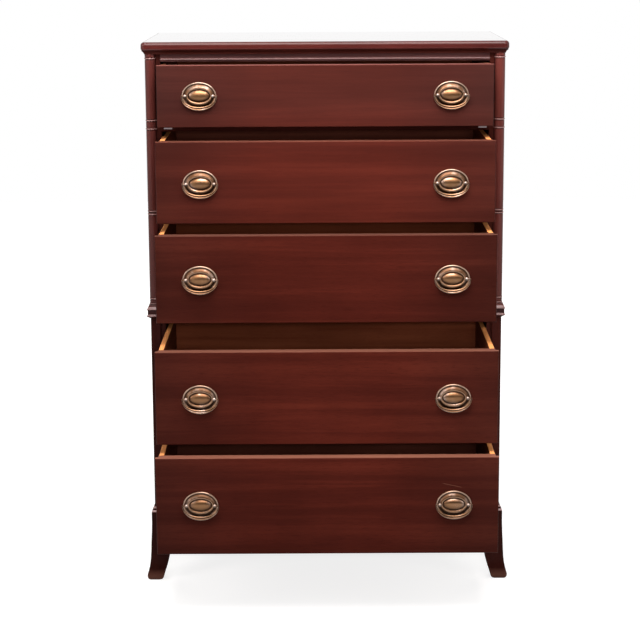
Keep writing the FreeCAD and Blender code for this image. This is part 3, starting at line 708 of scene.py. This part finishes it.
for drawerName in drawerNames:
    isTop = drawerName == drawerNames[0]
    # The backs of the second and fifth drawers are darker, painted shade inside their gaps
    isShaded = drawerName in (drawerNames[1], drawerNames[4])
    nodeFinishes[drawerName + "_front"] = ("frontMahoganyX", 0.0)
    nodeFinishes[drawerName + "_sides"] = ("caseWoodY" if isTop else "drawerWoodY", 1.5)
    nodeFinishes[drawerName + "_back"] = ("agedWoodX" if isShaded else "drawerWoodX", 1.5)
    nodeFinishes[drawerName + "_bottom"] = ("caseWoodX", 0.0)
    nodeFinishes[drawerName + "_pull_bolts"] = ("rubbedBrass", 0.0)
    for part in ("_pull_plates", "_left_bail", "_right_bail"):
        nodeFinishes[drawerName + part] = ("agedBrass", 0.0)

# How sharp edges are found and eased
easing = {"weld": 0.01 * mm, "segments": 2, "sharperThan": 30}


def dressNodes(settings):
    for name, (finish, ease) in nodeFinishes.items():
        node = nodes[name]
        node.data.materials.clear()
        node.data.materials.append(finishes[finish])
        if ease:
            weld = node.modifiers.new("weld", "WELD")
            weld.merge_threshold = settings["weld"]
            bevel = node.modifiers.new("easedEdges", "BEVEL")
            bevel.width = ease * mm
            bevel.segments = settings["segments"]
            bevel.limit_method = "ANGLE"
            bevel.angle_limit = math.radians(settings["sharperThan"])


dressNodes(easing)
print("finishes on", len(nodeFinishes), "nodes")


def makePiece(name, shape, finish, body, replaced, sharpAngle=35, mergeWithin=0.001 * mm):
    bmesh.ops.remove_doubles(shape, verts=shape.verts, dist=mergeWithin)
    bmesh.ops.recalc_face_normals(shape, faces=shape.faces)
    mesh = bpy.data.meshes.new(name)
    shape.to_mesh(mesh)
    shape.free()
    mesh.shade_smooth()
    mesh.set_sharp_from_angle(angle=math.radians(sharpAngle))
    mesh.materials.append(finishes[finish])
    piece = bpy.data.objects.new(name, mesh)
    bpy.context.scene.collection.objects.link(piece)
    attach(piece, body)
    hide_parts(*replaced)
    return piece


def smoothPiece(piece):
    smooth = piece.modifiers.new("smooth", "SUBSURF")
    smooth.levels = 1
    smooth.render_levels = 1


# Turned columns: rings as shares of the length from the top, one ring's height and radius in millimetres
columns = {
    "rings": (0.0165, 0.26, 0.2935, 0.621, 0.633, 0.9755, 0.9955),
    "ringProfile": (
        (3.6, 0.0), (3.2, -0.7), (2.5, -0.9), (2.1, -0.3), (1.8, 0.3), (1.2, 0.75), (0.6, 0.95), (0.0, 1.0),
        (-0.6, 0.95), (-1.2, 0.75), (-1.8, 0.3), (-2.1, -0.3), (-2.5, -0.9), (-3.2, -0.7), (-3.6, 0.0),
    ),
    "ringProjection": 1 * mm,
    "shaftWear": 0.5,  # a ring's crest rises to 1, its painted highlight
    "steps": 48,
}


def makeColumns(settings):
    low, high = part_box("corner_columns")
    crest = (high.y - low.y) / 2
    shaft = crest - settings["ringProjection"]
    length = high.z - low.z
    axisX, axisY = high.x - crest, (low.y + high.y) / 2
    profile = [(high.z, shaft)]
    for share in settings["rings"]:
        middle = high.z - length * share
        ring = [(middle + rise * mm, shaft + out * mm) for rise, out in settings["ringProfile"]]
        profile += [(z, radius) for z, radius in ring if z > low.z]
    profile.append((low.z, shaft))
    shape = bmesh.new()
    wear = shape.verts.layers.float.new("wear")
    for side in (-1, 1):
        centre = Vector((side * axisX, axisY, 0))
        verts = [shape.verts.new((centre.x, centre.y - radius, z)) for z, radius in profile]
        edges = [shape.edges.new(ends) for ends in zip(verts, verts[1:])]
        bmesh.ops.spin(
            shape, geom=verts + edges, cent=centre, axis=(0, 0, 1), angle=math.radians(360),
            steps=settings["steps"], use_merge=True,
        )
        bmesh.ops.holes_fill(shape, edges=[edge for edge in shape.edges if edge.is_boundary], sides=0)
    # Painted light: ring crests get a painted highlight and the grooves beside them painted shade, against
    # the shaft's middle level
    for vert in shape.verts:
        out = math.hypot(abs(vert.co.x) - axisX, vert.co.y - axisY) - shaft
        vert[wear] = settings["shaftWear"] + (1 - settings["shaftWear"]) * out / settings["ringProjection"]
    makePiece("turnedColumns", shape, "columnMahoganyZ", "carcass", ["corner_columns"])


makeColumns(columns)
print("columns turned")

# Waist blocks: share of the height, share of the projection, painted light (shade in the recess, highlights
# on the ledges)
waist = {
    "inner": 0.407,
    "projection": 8.5 * mm,
    "ease": 0.6 * mm,
    "sections": (
        (0.0, 0.02, 0.3), (0.1, 0.55, 0.2), (0.15, 0.93, 0.3), (0.18, 1.0, 0.6), (0.205, 1.0, 1.2),
        (0.22, 0.97, 1.5), (0.31, 0.8, 1.5), (0.325, 0.78, 0.1), (0.35, 0.78, 0.0), (0.61, 0.78, 0.0),
        (0.635, 0.82, 0.1), (0.65, 0.96, 0.3), (0.665, 1.0, 0.7), (0.68, 1.0, 1.2), (0.72, 0.93, 1.45),
        (0.83, 0.69, 1.3), (0.88, 0.6, 0.7), (0.92, 0.53, 0.3), (1.0, 0.42, 0.4),
    ),
}


def raiseBlock(shape, wear, side, sections, ease, segments=3):
    # Each section is a rectangle: inner and outer x, front and back y, height, painted light
    loops = []
    for inner, outer, front, back, z, lightLevel in sections:
        corners = ((inner, front), (outer, front), (outer, back), (inner, back))
        if loops:
            ring = bmesh.ops.extrude_discrete_faces(shape, faces=[ring])["faces"][0]
        else:
            ring = shape.faces.new([shape.verts.new((0, 0, z)) for corner in corners])
        for vert, (x, y) in zip(ring.verts, corners):
            vert.co = (side * x, y, z)
            vert[wear] = lightLevel
        loops.append(list(ring.verts))
    upright = []
    for low, high in zip(loops, loops[1:]):
        upright += [shape.edges.get(ends) for ends in zip(low, high)]
    bmesh.ops.bevel(
        shape, geom=upright, offset=ease, segments=segments, profile=0.5, affect="EDGES", material=-1,
    )


def makeWaist(settings):
    low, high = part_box("waist_blocks")
    half = high.x - settings["projection"]
    front = low.y + settings["projection"]
    shape = bmesh.new()
    wear = shape.verts.layers.float.new("wear")
    sections = []
    for share, projection, lightLevel in settings["sections"]:
        out = settings["projection"] * projection
        z = low.z + (high.z - low.z) * share
        sections.append((settings["inner"], half + out, front - out, high.y, z, lightLevel))
    for side in (-1, 1):
        raiseBlock(shape, wear, side, sections, settings["ease"])
    makePiece("mouldedWaist", shape, "columnMahoganyZ", "carcass", ["waist_blocks"])


makeWaist(waist)
print("waist moulded")

# Feet: share of the height, share of the flare, share of the width kept inside
# Their caps: share of the height, share of the projection, painted light (shade in the recesses, highlights
# on the ledges)
feet = {
    "height": 0.151,
    "flare": 21 * mm,
    "caseHalf": 0.431,
    "cornerWidth": 35.5 * mm,
    "frontDepth": 40 * mm,
    "ease": 2.2 * mm,
    "wear": 0.5,
    "sections": (
        (0.0, 0.55, 0.33), (0.015, 0.8, 0.46), (0.045, 0.96, 0.55), (0.08, 1.0, 0.6), (0.115, 0.9, 0.64),
        (0.16, 0.745, 0.7), (0.215, 0.585, 0.78), (0.28, 0.445, 0.865), (0.36, 0.325, 0.945),
        (0.48, 0.24, 0.99), (0.6, 0.19, 1.0), (0.84, 0.05, 1.0), (1.0, 0.0, 1.0),
    ),
    "capInner": waist["inner"],
    "capHeight": 44 * mm,
    "capProjection": 8 * mm,
    "capDepth": 26 * mm,
    "capEaseShare": 1 / 3,  # of the feet's own ease
    "cap": (
        (0.0, 1.0, 0.5), (0.51, 1.0, 0.5), (0.53, 1.0, 1.0), (0.545, 0.98, 1.5), (0.63, 0.7, 1.5),
        (0.64, 0.66, 0.1), (0.66, 0.62, 0.0), (0.71, 0.58, 0.0), (0.725, 0.56, 0.8), (0.735, 0.54, 1.35),
        (0.82, 0.24, 1.35), (0.83, 0.2, 0.1), (0.87, 0.12, 0.3), (1.0, 0.02, 0.5),
    ),
}


def makeFeet(settings):
    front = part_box("lower_posts")[0].y
    rearLow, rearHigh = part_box("rear_feet")
    half, lightLevel = settings["caseHalf"], settings["wear"]
    spread = settings["flare"] - settings["capProjection"]
    frontSections, capSections, rearSections = [], [], []
    for share, flare, kept in settings["sections"]:
        out = settings["capProjection"] + spread * flare
        inner = half - settings["cornerWidth"] * kept
        back = front + settings["frontDepth"] * kept
        z = settings["height"] * share
        frontSections.append((inner, half + out, front - out, back, z, lightLevel))
        rearSections.append((inner, half + out, rearLow.y, rearHigh.y, z, lightLevel))
    for share, projection, capLightLevel in settings["cap"]:
        out = settings["capProjection"] * projection
        back = front + settings["capDepth"]
        z = settings["height"] + settings["capHeight"] * share
        capSections.append((settings["capInner"], half + out, front - out, back, z, capLightLevel))
    frontShape, rearShape = bmesh.new(), bmesh.new()
    frontPaintedLight = frontShape.verts.layers.float.new("wear")
    rearPaintedLight = rearShape.verts.layers.float.new("wear")
    for side in (-1, 1):
        raiseBlock(frontShape, frontPaintedLight, side, frontSections, settings["ease"])
        raiseBlock(frontShape, frontPaintedLight, side, capSections, settings["ease"] * settings["capEaseShare"])
        raiseBlock(rearShape, rearPaintedLight, side, rearSections, settings["ease"])
    makePiece("splayedFeet", frontShape, "footMahoganyZ", "carcass", ["front_feet"])
    makePiece("backFeet", rearShape, "footMahoganyZ", "carcass", ["rear_feet"])


makeFeet(feet)
print("feet shaped")

# Pull plates from the rim to the dome: half width, half height and rise in millimetres, patina
plates = {
    "segments": 48,
    "sharpAngle": 180,
    "rows": (
        (41.5, 33.0, 0.0, 0.3), (41.5, 33.0, 1.4, 0.1), (41.1, 32.6, 2.5, -1.2), (39.8, 31.3, 3.4, -2.0),
        (38.4, 29.9, 3.2, -1.4), (37.2, 28.8, 2.2, 0.5), (36.5, 28.2, 1.5, 0.85), (35.2, 27.3, 1.4, 0.9),
        (34.0, 26.3, 1.7, 0.7), (33.0, 24.8, 3.0, 0.5), (31.7, 22.6, 4.4, 0.36), (30.2, 20.4, 5.2, 0.1),
        (28.9, 18.6, 5.5, -1.5), (27.7, 17.0, 5.2, -1.3), (26.7, 15.7, 4.3, 0.35), (26.0, 14.9, 3.5, 0.6),
        (25.5, 14.4, 3.2, 0.75), (25.0, 13.9, 3.6, 0.5), (24.5, 13.5, 4.4, 0.2), (23.2, 12.7, 5.5, 0.0),
        (20.4, 11.1, 6.7, -0.5), (16.4, 8.9, 7.7, -0.9), (11.6, 6.3, 8.4, -1.0), (6.0, 3.3, 8.85, -1.0),
        (2.4, 1.3, 9.0, -1.0),
    ),
}


def makePlates(drawerName, settings):
    node = drawerName + "_pull_plates"
    low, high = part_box(node)
    shape = bmesh.new()
    patina = shape.verts.layers.float.new("patina")
    rows = settings["rows"]
    wide, tall = rows[0][:2]
    for side in (-1, 1):
        centre = Vector((side * (high.x - wide * mm), high.y, (low.z + high.z) / 2))
        toCentre = Matrix.Translation(-centre)
        stand = Matrix.Translation(centre) @ Matrix.Rotation(math.radians(90), 4, "X")
        ring = bmesh.ops.create_circle(
            shape, cap_ends=True, segments=settings["segments"], radius=mm, matrix=stand,
        )["verts"]
        bmesh.ops.scale(shape, vec=(wide, 1, tall), space=toCentre, verts=ring)
        for vert in ring:
            vert[patina] = rows[0][3]
        edges = list({edge for vert in ring for edge in vert.link_edges})
        for before, row in zip(rows, rows[1:]):
            grown = bmesh.ops.extrude_edge_only(shape, edges=edges)["geom"]
            ring = {item for item in grown if isinstance(item, bmesh.types.BMVert)}
            edges = [item for item in grown if isinstance(item, bmesh.types.BMEdge)]
            edges = [edge for edge in edges if ring.issuperset(edge.verts)]
            shrink = (row[0] / before[0], 1, row[1] / before[1])
            bmesh.ops.scale(shape, vec=shrink, space=toCentre, verts=list(ring))
            bmesh.ops.translate(shape, vec=(0, (before[2] - row[2]) * mm, 0), verts=list(ring))
            for vert in ring:
                vert[patina] = row[3]
        bmesh.ops.contextual_create(shape, geom=edges)
    name, sharpAngle = drawerName + "_plates", settings["sharpAngle"]
    smoothPiece(makePiece(name, shape, "agedBrass", drawerName, [node], sharpAngle))


for drawerName in drawerNames:
    makePlates(drawerName, plates)
print("plates made for", len(drawerNames), "drawers")

# Bails: the section is in shares of half the thickness and half the depth, with its patina
# A tip is a rise over the bail's end and the share of the section that is left there
bails = {
    "thickness": 10.6 * mm,
    "endShare": 0.17,
    "endDepth": 0.55,
    "steps": 32,
    "pinRadius": 1.5 * mm,
    "pinReach": 11 * mm,
    "pinSegments": 16,
    "sharpAngle": 60,
    "tips": ((1.2 * mm, 0.75), (1.9 * mm, 0.3)),
    "section": (
        (-1.0, 0.0, 0.3), (-0.88, -0.62, 0.0), (-0.55, -0.95, -1.6), (-0.22, -0.8, 0.0), (-0.06, -0.5, 0.8),
        (0.08, -0.5, 0.8), (0.24, -0.8, 0.0), (0.56, -0.98, -2.0), (0.88, -0.6, -0.6), (1.0, 0.0, 0.3),
        (0.85, 0.65, 0.7), (0.4, 0.98, 0.8), (-0.4, 0.98, 0.8), (-0.85, 0.65, 0.7),
    ),
}


def addLoop(shape, patina, section, middle, outward, halfThick, halfDeep):
    verts = []
    for across, deep, dark in section:
        vert = shape.verts.new(middle + outward * (across * halfThick) + Vector((0, deep * halfDeep, 0)))
        vert[patina] = dark
        verts.append(vert)
    return [shape.edges.new(ends) for ends in zip(verts, verts[1:] + verts[:1])]


def addPin(shape, middle, outward, settings):
    turn = Matrix.Rotation(math.radians(90), 4, "Y")
    bmesh.ops.create_cone(
        shape, cap_ends=True, segments=settings["pinSegments"], radius1=settings["pinRadius"],
        radius2=settings["pinRadius"], depth=settings["pinReach"],
        matrix=Matrix.Translation(middle - outward * settings["pinReach"] / 2) @ turn,
    )


def makeBail(drawerName, side, settings):
    node = f"{drawerName}_{side}_bail"
    low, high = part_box(node)
    plateLow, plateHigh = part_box(drawerName + "_pull_plates")
    centre = Vector(((low.x + high.x) / 2, (low.y + high.y) / 2, (plateLow.z + plateHigh.z) / 2))
    half, drop, deep = (high.x - low.x) / 2, centre.z - low.z, (high.y - low.y) / 2
    thick, section, steps = settings["thickness"], settings["section"], settings["steps"]
    shape = bmesh.new()
    patina = shape.verts.layers.float.new("patina")
    loops = []
    for step in range(steps + 1):
        angle = math.radians(180 + 180 * step / steps)
        across, down = math.cos(angle), math.sin(angle)
        outer = Vector((half * across, 0, drop * down))
        inner = Vector(((half - thick * settings["endShare"]) * across, 0, (drop - thick) * down))
        outward = (outer - inner).normalized()
        middle = centre + (outer + inner) / 2
        halfThick = (outer - inner).length / 2
        halfDeep = deep * (settings["endDepth"] + (1 - settings["endDepth"]) * abs(down))
        loops.append(addLoop(shape, patina, section, middle, outward, halfThick, halfDeep))
        if step in (0, steps):
            tips = []
            for rise, share in settings["tips"]:
                raised = middle + Vector((0, 0, rise))
                sizes = (halfThick * share, halfDeep * share)
                tips.append(addLoop(shape, patina, section, raised, outward, *sizes))
            loops = tips[::-1] + loops if step == 0 else loops + tips
            addPin(shape, middle, outward, settings)
    for before, after in zip(loops, loops[1:]):
        bmesh.ops.bridge_loops(shape, edges=before + after)
    for end in (loops[0], loops[-1]):
        bmesh.ops.contextual_create(shape, geom=end)
    name, body = f"{drawerName}_{side}_loop", f"{drawerName}_bail_{side}"
    smoothPiece(makePiece(name, shape, "agedBrass", body, [node], settings["sharpAngle"]))


for drawerName in drawerNames:
    for side in ("left", "right"):
        makeBail(drawerName, side, bails)
print("bails made")
